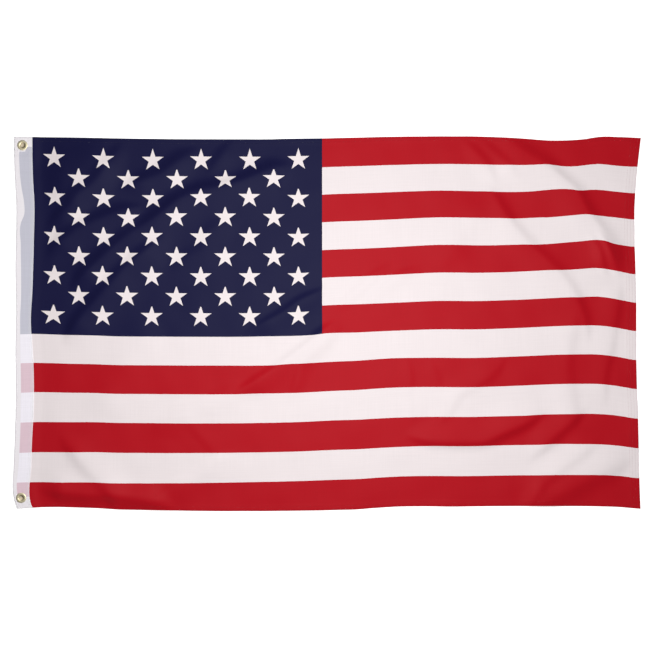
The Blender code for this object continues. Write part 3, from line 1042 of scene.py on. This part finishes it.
@dataclass
class FieldPanel:
    """The printed panel with its hems.

    Attributes:
        lay: How the cloth lies.
        stack: The layers at the hoist.
        cloth: Its finish.
        rim_bulge: How far its edges are rounded outwards.
        hem_step: Half the width over which a hem's edge is eased.
        hem_margin: Distance of a line of points beyond the hem at the fly.
        fly_rows: Distances of the stitch rows from the fly edge.
        edge_rows: Their distances from the long edges.
        tuck: Where the cloth, coming from the heading, begins and ends to go down to the surface.
        before_seam: A line of points just before the heading's seam.
        fly_row_ends: The t of both ends of the fly's rows.
        edge_row_ends: Distances of the ends of the long rows from the folded edge and from the fly edge.
    """

    lay: Lay
    stack: Stack
    cloth: PrintedPolyester
    thickness: float = 0.8 * MM
    rim_bulge: float = 0.35 * MM
    hem_extra: float = 0.25 * MM
    hem_step: float = 1 * MM
    hem_margin: float = 1.5 * MM
    edge_hem: float = 11 * MM
    fly_hem: float = 24 * MM
    fly_rows: tuple[float, ...] = (1.5 * MM, 8.5 * MM, 15.5 * MM, 22.5 * MM)
    edge_rows: tuple[float, ...] = (2.0 * MM, 9.0 * MM)
    groove: float = 0.18 * MM
    groove_reach: float = 1.1 * MM
    raw_edge: float = 14 * MM
    raw_edge_at_ends: float = 38 * MM
    clear_of_end: float = 6 * MM
    tuck: tuple[float, float] = (45.5 * MM, 68 * MM)
    before_seam: float = 40 * MM
    fly_row_ends: tuple[float, float] = (0.003, 0.997)
    edge_row_ends: tuple[float, float] = (50 * MM, 2 * MM)
    pitch: float = 6.2 * MM

    def relief(self, s: Array, t: Array) -> Array:
        """Works out how much the hems and the stitch rows change the thickness.

        A hem adds hem_extra, eased in from hem_step before its edge to hem_step past it, and each row of
        stitches presses in a groove, which is a bell.

        Args:
            s: Distances from the heading's folded edge.
            t: Shares of the hoist.

        Returns:
            The change in thickness.
        """
        step = self.hem_step
        from_fly = FLY_LENGTH - s
        from_edge = np.minimum(t, 1 - t) * CUT_HOIST
        fly = 1 - ease(from_fly, self.fly_hem - step, self.fly_hem + step)
        edge = 1 - ease(from_edge, self.edge_hem - step, self.edge_hem + step)
        rows = sum(bell(from_fly, row, self.groove_reach) for row in self.fly_rows)
        rows = rows + sum(bell(from_edge, row, self.groove_reach) for row in self.edge_rows)
        return self.hem_extra * np.maximum(fly, edge) - self.groove * rows

    def under(self, s: Array, t: Array) -> tuple[Array, Array, Array]:
        """Places the underside: on the surface, over the folds, and up into the heading at the hoist.

        Args:
            s: Distances from the heading's folded edge.
            t: Shares of the hoist.

        Returns:
            x, y and z.
        """
        x, y, height = self.lay.place(s, t)
        tucked = 1 - ease(s, *self.tuck)
        return x, y, height + tucked * (self.stack.ply + self.stack.gap + self.stack.lift(t))

    def face(self, s: Array, t: Array) -> tuple[Array, Array, Array]:
        """Places the printed face, which is the underside raised by the thickness."""
        x, y, z = self.under(s, t)
        return x, y, z + self.thickness + self.relief(s, t)

    def beside(self, rows: Sequence[float]) -> list[float]:
        """Lists the places of stitch rows and of both sides of their grooves."""
        return [place for row in rows for place in (row - self.groove_reach, row, row + self.groove_reach)]

    def columns(self) -> Array:
        """Spaces the columns: close at the seam, the hem and its stitch rows.

        Returns:
            Their places, from 0 at the hoist to the length of the fly.
        """
        near_fly = [FLY_LENGTH - place for place in self.beside(self.fly_rows)[::-1]]
        hem = FLY_LENGTH - self.fly_hem - self.hem_margin
        return spread([0.0, self.before_seam, *self.tuck, hem, *near_fly, FLY_LENGTH], self.pitch)

    def rows(self) -> Array:
        """Spaces the rows: close at the hems and where the raw edge steps in beside the heading's ends.

        Returns:
            Their places as shares of the hoist.
        """
        low = [0.0, *self.beside(self.edge_rows), self.edge_hem + self.hem_step]
        bottom = [self.stack.turned_in_bottom + d for d in (self.clear_of_end, 2 * self.clear_of_end)]
        top = [CUT_HOIST - self.stack.turned_in_top - d for d in (2 * self.clear_of_end, self.clear_of_end)]
        return spread([*low, *bottom, *top, *(CUT_HOIST - d for d in low[::-1])], self.pitch) / CUT_HOIST

    def build(self) -> Object:
        """Makes the panel as a closed sheet. Its raw edge steps in beside the heading's turned-in ends.

        Returns:
            The object.
        """
        columns, rows = self.columns(), self.rows()
        at_ends = self.stack.at_ends(rows, self.clear_of_end, self.clear_of_end)
        raw_edge = self.raw_edge + at_ends * (self.raw_edge_at_ends - self.raw_edge)
        raw_edge = raw_edge[:, None]
        start = self.tuck[0]
        squeezed = raw_edge + np.clip(columns / start, 0, 1) * (start - raw_edge)
        s = np.where(columns < start, squeezed, columns)
        t = np.broadcast_to(rows[:, None], s.shape)
        sheet = Sheet(
            outer=np.stack(self.face(s, t), axis=-1),
            inner=np.stack(self.under(s, t), axis=-1),
            cut=np.stack([s, t * CUT_HOIST], axis=-1),
            bulge=self.rim_bulge,
        )
        return sheet.build("field_cloth", self.cloth.material(Side.FACE), self.cloth.material(Side.BACK))

    def sew(self, thread: Material) -> Object:
        """Makes the stitches of the hems.

        Args:
            thread: The thread's material.

        Returns:
            The object.
        """
        ends = (self.edge_row_ends[0], FLY_LENGTH - self.edge_row_ends[1])
        lines = [((FLY_LENGTH - row, FLY_LENGTH - row), self.fly_row_ends) for row in self.fly_rows]
        for row in self.edge_rows:
            lines += [(ends, (share, share)) for share in (row / CUT_HOIST, 1 - row / CUT_HOIST)]
        return Stitching().rows("hem_stitches", self.face, lines, thread)


@dataclass
class Heading:
    """The white strip folded round the hoist edge, with its ends turned in.

    Attributes:
        lay: How the cloth lies.
        stack: The layers at the hoist.
        canvas: Its finish.
        grommets: Middles of the grommets.
        cutter_ends: Heights between which the cutters of the holes stand.
        end_run: Length over which a turned-in end thins out along the hoist.
        end_edge: The same towards the seam.
        edge_break: Distance of a line of points beyond the edge of the turned-in ends.
        shown_bottom: Share of the turned-in end through which the field doesn't show, at the bottom.
        shown_step: Where the field's outline steps up at the top, and by how much.
        pucker_place: Place of the puckers' ring in flange radii, and its reach.
        seam_rows: Distances of the seam's stitch rows from the folded edge.
        end_rows: The t of the stitch rows along the heading's ends.
        end_row_ends: Distances of their ends from the folded edge.
    """

    lay: Lay
    stack: Stack
    canvas: WhiteCanvas
    grommets: Sequence[Vector]
    # The field's raw edge as it shows through, as (t, millimetres from the folded edge).
    raw_edge: Knots = (
        (0.0, 11.0), (0.06, 10.0), (0.13, 12.5), (0.3, 12.5), (0.46, 12.0), (0.52, 11.0), (0.55, 12.5),
        (0.63, 14.0), (0.7, 12.0), (0.765, 11.5), (0.785, 18.5), (0.82, 19.0), (0.86, 15.0), (0.93, 12.0),
        (1.0, 12.5),
    )
    hole_radius: float = 6.9 * MM
    flange_radius: float = 12.5 * MM
    hole_sides: int = 48
    cutter_ends: tuple[float, float] = (-0.02, 0.03)
    pucker: float = 0.35 * MM
    puckers: int = 11
    pucker_place: tuple[float, float] = (1.25, 0.3)
    end_run: float = 5 * MM
    end_edge: float = 2 * MM
    edge_break: float = 1.5 * MM
    shown_bottom: float = 0.8
    shown_step: tuple[float, float, float] = (27 * MM, 29 * MM, 12 * MM)
    thread: float = 0.26 * MM
    seam_rows: tuple[float, ...] = (36.5 * MM, 42 * MM)
    seam_row_ends: tuple[float, float] = (0.003, 0.997)
    end_rows: tuple[float, ...] = (0.003, 0.0435, 0.9635, 0.997)
    end_row_ends: tuple[float, float] = (3 * MM, 35 * MM)
    pitch: float = 3.4 * MM
    fine_pitch: float = 1.5 * MM
    fine_ends: float = 46 * MM
    bend_steps: int = 10

    def pressed(self, x: Array, y: Array) -> Array:
        """Works out the small puckers round each grommet.

        With r the distance from the middle and a the angle, the height is pucker times the average of 1 and
        cos(n a + sin 3a), times a bell in r that is highest just outside the flange.

        Args:
            x: Places along X.
            y: Places along Y.

        Returns:
            The height of the puckers.
        """
        height = np.zeros(x.shape)
        for middle in self.grommets:
            far = np.hypot(x - middle.x, y - middle.y)
            angle = np.arctan2(y - middle.y, x - middle.x)
            ring = bell(far, *(share * self.flange_radius for share in self.pucker_place))
            height += self.pucker * ring * (0.5 + 0.5 * np.cos(self.puckers * angle + np.sin(3 * angle)))
        return height

    def build(self) -> Object:
        """Makes the strip: a U-shaped section carried along the hoist, with the grommet holes cut through.

        The outer line of the section runs from the seam along the back, round a half circle with a radius
        of half the stack, and back along the face. The inner line is one ply inside it, and more in the
        turned-in ends.

        Returns:
            The object.
        """
        stack = self.stack
        width, inside = stack.heading_width, stack.turned_in_width
        radius = stack.thickness / 2
        ply = spread([radius, inside, inside + self.edge_break, width], self.fine_pitch)
        turn = np.linspace(0, np.pi, self.bend_steps + 1)[1:-1]
        s_line = np.concatenate([ply[::-1], radius - radius * np.sin(turn), ply])
        z_line = np.concatenate([0 * ply, radius - radius * np.cos(turn), 0 * ply + stack.thickness])
        normal_s = np.concatenate([0 * ply, -np.sin(turn), 0 * ply])
        normal_z = np.concatenate([0 * ply - 1, -np.cos(turn), 0 * ply + 1])
        t = spread([0.0, self.fine_ends], self.fine_pitch)
        middle = spread([self.fine_ends, CUT_HOIST - self.fine_ends], self.pitch)[1:-1]
        t = np.concatenate([t, middle, CUT_HOIST - t[::-1]]) / CUT_HOIST
        shape = (len(t), len(s_line))
        tt = np.broadcast_to(t[:, None], shape)
        turned_in = stack.at_ends(tt, 0.0, self.end_run) * (1 - ease(s_line, inside, inside + self.end_edge))
        thick = stack.ply + turned_in * ((stack.thickness - stack.gap) / 2 - stack.ply)
        ss = np.broadcast_to(s_line, shape)
        x, y, _ = self.lay.place(ss, tt)
        on_face = np.broadcast_to(normal_z > 0.9, shape)
        z = z_line + stack.lift(tt) + self.pressed(x, y) * on_face
        in_s = ss - thick * normal_s
        inner_x, inner_y, _ = self.lay.place(in_s, tt)
        inner_z = z - thick * normal_z
        sheet = Sheet(
            outer=np.stack([x, y, z], axis=-1),
            inner=np.stack([inner_x, inner_y, inner_z], axis=-1),
            cut=np.stack([ss, tt * CUT_HOIST], axis=-1),
        )
        made = self.canvas.material(width)
        piece = sheet.build("heading_strip", made, made)
        self.mark_under(piece)
        self.cut_holes(piece)
        return piece

    def mark_under(self, piece: Object) -> None:
        """Stores how far each point lies inside the outline of the field that shows through.

        Args:
            piece: The strip, whose UV map holds the place on the cut cloth.
        """
        mesh = piece.data
        corner = np.empty(len(mesh.loops), dtype=np.int32)
        mesh.loops.foreach_get("vertex_index", corner)
        uv = np.empty(2 * len(mesh.loops))
        mesh.uv_layers[UV_NAME].data.foreach_get("uv", uv)
        cut = np.empty((len(mesh.vertices), 2))
        cut[corner] = uv.reshape(-1, 2)
        s, v = cut.T
        inside = s - MM * through(self.raw_edge, v / CUT_HOIST)
        low = v - self.shown_bottom * self.stack.turned_in_bottom
        step_start, step_end, rise = self.shown_step
        high = CUT_HOIST - self.stack.turned_in_top - v + ease(s, step_start, step_end) * rise
        under = np.minimum(np.minimum(inside, low), high)
        mesh.attributes.new(UNDER_NAME, "FLOAT", "POINT").data.foreach_set("value", under)

    def cut_holes(self, piece: Object) -> None:
        """Cuts a hole through both plies for each grommet.

        Args:
            piece: The strip.
        """
        cutters = []
        turn = np.linspace(0, 2 * np.pi, self.hole_sides, endpoint=False)
        ring = np.stack([self.hole_radius * np.cos(turn), self.hole_radius * np.sin(turn)], axis=1)
        low = np.arange(self.hole_sides)
        high = low + self.hole_sides
        faces = [*band_faces(low, high).tolist(), low[::-1].tolist(), high.tolist()]
        for middle in self.grommets:
            points = np.concatenate([
                np.column_stack([ring + [middle.x, middle.y], np.full(self.hole_sides, z)])
                for z in self.cutter_ends
            ])
            cutter = make_piece("hole_cutter", points, faces, ())
            modifier = piece.modifiers.new("hole", "BOOLEAN")
            modifier.operation = "DIFFERENCE"
            modifier.object = cutter
            cutters.append(cutter)
        graph = bpy.context.evaluated_depsgraph_get()
        cut_mesh = bpy.data.meshes.new_from_object(piece.evaluated_get(graph))
        piece.modifiers.clear()
        piece.data = cut_mesh
        for cutter in cutters:
            bpy.data.objects.remove(cutter)

    def face(self, s: Array, t: Array) -> tuple[Array, Array, Array]:
        """Places the face, without the puckers."""
        x, y, _ = self.lay.place(s, t)
        return x, y, self.stack.thickness + self.stack.lift(t)

    def sew(self, thread: Material) -> Object:
        """Makes the stitches of the seam and of the turned-in ends.

        Args:
            thread: The thread's material.

        Returns:
            The object.
        """
        lines = [((s, s), self.seam_row_ends) for s in self.seam_rows]
        lines += [(self.end_row_ends, (t, t)) for t in self.end_rows]
        return Stitching(thread=self.thread).rows("heading_stitches", self.face, lines, thread)


@dataclass
class Stitching:
    """Rows of straight stitches, each stitch a short thread that dips into the cloth at both ends.

    Attributes:
        thread: Radius of the thread.
        length: Length of a stitch.
        pitch: Distance from one stitch to the next.
        crest: Height of a stitch's middle line over the cloth, in radii of the thread.
        dip: How much lower its ends are, in radii.
        taper: Share by which it is thinner at its ends.
    """

    thread: float = 0.22 * MM
    length: float = 3.0 * MM
    pitch: float = 3.8 * MM
    crest: float = 0.9
    dip: float = 1.5
    taper: float = 0.6
    rings: int = 5
    sides: int = 5

    def rows(self, name: str, surface: Surface, lines: Sequence[Line], material: Material) -> Object:
        """Makes the stitches of several rows as one mesh.

        With w from -1 to 1 along a stitch, its middle line stands crest - dip w² radii of the thread above
        the cloth, and its section is a circle of 1 - taper w⁴ radii.

        Args:
            name: Name of the piece.
            surface: Function of (s, t) that gives x, y and z of the cloth.
            lines: For each row, the s and t of its two ends.
            material: The thread's material.

        Returns:
            The object.
        """
        points, cuts, faces, made = [], [], [], 0
        for s_ends, t_ends in lines:
            span = np.hypot(s_ends[1] - s_ends[0], (t_ends[1] - t_ends[0]) * CUT_HOIST)
            count = int(span / self.pitch)
            middle = (np.arange(count) + 0.5) / count
            w = np.linspace(-1, 1, self.rings)
            share = middle[:, None] + w * self.length / 2 / span
            s = s_ends[0] + share * (s_ends[1] - s_ends[0])
            t = t_ends[0] + share * (t_ends[1] - t_ends[0])
            centre = np.stack(surface(s, t), axis=-1)
            centre[..., 2] += self.thread * (self.crest - self.dip * w**2)
            along = centre[:, -1, :2] - centre[:, 0, :2]
            along /= np.linalg.norm(along, axis=1, keepdims=True)
            side = np.stack([-along[:, 1], along[:, 0], 0 * along[:, 0]], axis=1)[:, None, None]
            turn = np.arange(self.sides) * 2 * np.pi / self.sides
            round_side = (np.cos(turn) * self.thread)[None, None, :, None]
            round_up = (np.sin(turn) * self.thread)[None, None, :, None]
            slim = (1 - self.taper * w**4)[None, :, None, None]
            ring = centre[:, :, None] + slim * (side * round_side + np.array([0.0, 0.0, 1.0]) * round_up)
            points.append(ring.reshape(-1, 3))
            cuts.append(np.repeat(np.stack([s, t * CUT_HOIST], axis=-1).reshape(-1, 2), self.sides, axis=0))
            faces.append(self.tube_faces(count) + made)
            made += count * self.rings * self.sides
        ends = self.end_faces(made // (self.rings * self.sides))
        all_faces = [*np.concatenate(faces).tolist(), *ends.tolist()]
        return make_piece(name, np.concatenate(points), all_faces, (material,), np.concatenate(cuts))

    def tube_faces(self, count: int) -> Numbers:
        """Numbers the side quads of tubes.

        Args:
            count: Number of tubes.

        Returns:
            (n, 4) indices.
        """
        number = np.arange(count * self.rings * self.sides).reshape(count, self.rings, self.sides)
        turned = np.roll(number, -1, axis=2)
        quads = np.stack([number[:, :-1], turned[:, :-1], turned[:, 1:], number[:, 1:]], axis=-1)
        return quads.reshape(-1, 4)

    def end_faces(self, count: int) -> Numbers:
        """Numbers the faces that close both ends of count tubes."""
        number = np.arange(count * self.rings * self.sides).reshape(count, self.rings, self.sides)
        return np.concatenate([number[:, 0, ::-1], number[:, -1]])


@dataclass
class Grommet:
    """A brass eyelet and its washer, turned about a vertical axis.

    Attributes:
        end: "top" or "bottom".
        brass: Their material.
        rise: Height of the flange's crown over its seat on the cloth.
        fullness: Power of the sine in the crown, which is fuller than an ellipse.
        rim_inset: How far the flange's underside stays inside its rim.
        roll_middle: Distance from the axis to the middle of the rolled end's rim.
        roll: Radius of that rim.
        washer_play: Gap between the barrel and the washer.
    """

    end: str
    brass: Material
    bore: float = 6.0 * MM
    wall: float = 0.5 * MM
    flange: float = 12.5 * MM
    rise: float = 1.0 * MM
    fullness: float = 0.7
    rim_inset: float = 0.2 * MM
    roll_middle: float = 8.35 * MM
    roll: float = 0.25 * MM
    washer_play: float = 0.4 * MM
    crown_points: int = 19
    bend_points: int = 7
    throat_points: int = 5
    steps: int = 96

    def turned(self, name: str, profile: Array, middle: Vector) -> Object:
        """Turns a closed profile about the vertical through middle.

        Args:
            name: Name of the piece.
            profile: (n, 2) radii and heights, in order down the outer side and up the bore.
            middle: Where the axis stands.

        Returns:
            The object.
        """
        turn = np.arange(self.steps) * 2 * np.pi / self.steps
        radius, height = profile.T
        points = np.stack([
            middle.x + radius * np.cos(turn)[:, None],
            middle.y + radius * np.sin(turn)[:, None],
            np.broadcast_to(height, (self.steps, len(height))),
        ], axis=-1)
        number = np.arange(self.steps * len(profile)).reshape(self.steps, -1)
        after, down = np.roll(number, -1, axis=0), np.roll(number, -1, axis=1)
        quads = np.stack([number, down, np.roll(after, -1, axis=1), after], axis=-1).reshape(-1, 4)
        return make_piece(name, points.reshape(-1, 3), quads, (self.brass,))

    def eyelet(self) -> Object:
        """Makes the eyelet: a half-round flange, a straight barrel and an end rolled out over the washer.

        The flange's top is an arc from its rim, at a = 0, to the bore:
        (r, z) = (bore + half + half cos a, seat + rise (sin a)^fullness).

        Returns:
            The object.
        """
        low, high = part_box(f"eyelet_{self.end}")
        middle = (low + high) / 2
        seat = high.z - self.rise
        arc = np.linspace(0, np.pi, self.crown_points)
        half = (self.flange - self.bore) / 2
        crown = np.column_stack([
            self.bore + half + half * np.cos(arc), seat + (high.z - seat) * np.sin(arc) ** self.fullness,
        ])
        bend = np.linspace(0.5 * np.pi, -0.5 * np.pi, self.bend_points)
        rolled = np.column_stack([
            self.roll_middle + self.roll * np.cos(bend), low.z + self.roll + self.roll * np.sin(bend),
        ])
        barrel, turn_in = self.bore + self.wall, low.z + self.wall
        throat = np.linspace(-0.5 * np.pi, -np.pi, self.throat_points)[1:]
        mouth = np.column_stack([barrel + self.wall * np.cos(throat), turn_in + self.wall * np.sin(throat)])
        under = np.array([[self.flange - self.rim_inset, seat], [barrel, seat], [barrel, turn_in]])
        profile = np.concatenate([crown[::-1], under, rolled, mouth])
        return self.turned(f"brass_eyelet_{self.end}", profile, middle)

    def washer(self) -> Object:
        """Makes the washer: a flat ring with a rounded outer rim.

        Returns:
            The object.
        """
        low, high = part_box(f"washer_{self.end}")
        middle = (low + high) / 2
        half = (high.z - low.z) / 2
        outer = (high.x - low.x) / 2
        bend = np.linspace(0.5 * np.pi, -0.5 * np.pi, self.bend_points)
        rim = np.column_stack([outer - half + half * np.cos(bend), middle.z + half * np.sin(bend)])
        inner = self.bore + self.wall + self.washer_play
        profile = np.concatenate([rim, [[inner, low.z], [inner, high.z]]])
        return self.turned(f"brass_washer_{self.end}", profile, middle)


@dataclass
class Studio:
    """A pale floor, soft light from above the middle of the cloth, and the camera straight above."""

    camera_height: float = 4.0
    pixel: float = 2.44 * MM
    frame_pixels: int = 650
    # Where the middle of the cloth stands in the picture, in pixels.
    middle_pixel: tuple[float, float] = (326.6, 323.7)
    sensor: float = 36.0
    key_place: tuple[float, float, float] = (0.02, 0.08, 1.35)
    key_size: float = 0.45
    key_power: float = 11.35
    world_strength: float = 0.12
    glow: float = 0.5
    floor_half: float = 12.0
    floor_roughness: float = 0.9
    floor_specular: float = 0.1
    pale: str = "FAFAFA"
    painted_hole_shade: str = "BDB29F"
    # Under the flag the floor is a painted shade: a dull warm grey that doesn't glow and shows only through
    # the grommets, where it stands for the shade inside their holes. The fields give (middle, half the
    # length) along X and along Y, and the width of the change.
    hole_shade_x: tuple[float, float] = (-0.026, 0.726)
    hole_shade_y: tuple[float, float] = (0.004, 0.442)
    hole_shade_edge: float = 2 * MM

    def floor(self) -> None:
        """Lays a large pale floor that glows round the flag, so that it comes out plain white. Under the flag
        it is a painted shade of dull warm grey, which is seen through the grommets.
        """
        half = self.floor_half
        points = np.array([[-half, -half, 0.0], [half, -half, 0.0], [half, half, 0.0], [-half, half, 0.0]])
        made, tree, shader = new_material("pale_studio_floor")
        where = add_node(tree, "ShaderNodeTexCoord").outputs["Object"]
        apart = add_node(tree, "ShaderNodeSeparateXYZ", {0: where})
        values = work_out(tree, {"x": apart.outputs[0], "y": apart.outputs[1]}, (
            ("from_x", "SUBTRACT", "x", self.hole_shade_x[0]),
            ("far_x", "ABSOLUTE", "from_x"),
            ("out_x", "SUBTRACT", "far_x", self.hole_shade_x[1]),
            ("from_y", "SUBTRACT", "y", self.hole_shade_y[0]),
            ("far_y", "ABSOLUTE", "from_y"),
            ("out_y", "SUBTRACT", "far_y", self.hole_shade_y[1]),
            ("out", "MAXIMUM", "out_x", "out_y"),
            ("glow", "RANGE", "out", 0.0, self.hole_shade_edge, 0.0, self.glow),
            ("shade", "RANGE", "out", 0.0, self.hole_shade_edge),
            # Inside the flag's outline the floor takes the painted hole shade, and outside it the pale
            # colour.
            ("colour", "MIX", "shade", linear(self.painted_hole_shade), linear(self.pale)),
        ))
        feed(tree, shader, {
            "Base Color": values["colour"],
            "Roughness": self.floor_roughness,
            "Specular IOR Level": self.floor_specular,
            "Emission Color": linear("FFFFFF"),
            "Emission Strength": values["glow"],
        })
        obj = make_piece("studio_floor", points, [[0, 1, 2, 3]], (made,))

    def light(self) -> None:
        """Hangs one soft light above the cloth, in a pale room."""
        lamp = bpy.data.lights.new("key_light", "AREA")
        lamp.shape = "DISK"
        lamp.size = self.key_size
        lamp.energy = self.key_power
        lamp.use_nodes = True
        tree = lamp.node_tree
        falloff = add_node(tree, "ShaderNodeLightFalloff", {"Strength": 1.0})
        tree.links.new(falloff.outputs["Constant"], tree.nodes["Emission"].inputs["Strength"])
        obj = bpy.data.objects.new("key_light", lamp)
        obj.location = self.key_place
        bpy.context.scene.collection.objects.link(obj)
        world = bpy.data.worlds.new("pale_room")
        world.use_nodes = True
        background = world.node_tree.nodes["Background"]
        background.inputs["Color"].default_value = linear("FFFFFF")
        background.inputs["Strength"].default_value = self.world_strength
        bpy.context.scene.world = world

    def camera(self) -> None:
        """Stands the camera straight above, so that a pixel is 2.44 mm on the cloth."""
        data = bpy.data.cameras.new("camera")
        data.sensor_width = self.sensor
        data.lens = self.sensor * self.camera_height / (self.frame_pixels * self.pixel)
        obj = bpy.data.objects.new("camera", data)
        half = self.frame_pixels / 2
        obj.location = (
            -(self.middle_pixel[0] - half) * self.pixel,
            (self.middle_pixel[1] - half) * self.pixel,
            self.camera_height,
        )
        bpy.context.scene.collection.objects.link(obj)
        bpy.context.scene.camera = obj

    def build(self) -> None:
        """Sets up the whole studio."""
        self.floor()
        self.light()
        self.camera()
        bpy.context.scene.view_settings.view_transform = "Standard"


def attach(piece: Object, slot: str, *nodes: str) -> None:
    """Makes a piece ride with the flag and hides the solids that it stands for.

    Args:
        piece: The piece.
        slot: Material slot of the record. It is not used.
        *nodes: Solids that it replaces.
    """
    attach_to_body(piece, BODY)
    if nodes:
        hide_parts(*nodes)
    log.info("%s: %d faces", piece.name, len(piece.data.polygons))


def main() -> None:
    """Builds the studio and the flag."""
    logging.basicConfig(level=logging.INFO, format="%(message)s")
    Studio().build()
    lay, stack = Lay(), Stack()
    middles = [sum(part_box(f"eyelet_{end}"), Vector()) / 2 for end in ("top", "bottom")]

    panel = FieldPanel(lay, stack, PrintedPolyester())
    cloth = panel.build()
    attach(cloth, "printed_cloth", "field")

    heading = Heading(lay, stack, WhiteCanvas(), middles)
    strip = heading.build()
    attach(strip, "heading_cloth", "heading")

    nylon, spun = Monofilament().material(), SpunThread().material()
    hem_sewing = panel.sew(nylon)
    attach(hem_sewing, "printed_cloth")
    seam_sewing = heading.sew(spun)
    attach(seam_sewing, "heading_cloth")

    brass = PressedBrass().material()
    for end in ("top", "bottom"):
        grommet = Grommet(end, brass)
        for piece, node in ((grommet.eyelet(), f"eyelet_{end}"), (grommet.washer(), f"washer_{end}")):
            attach(piece, "brass", node)


if __name__ == "__main__":
    main()
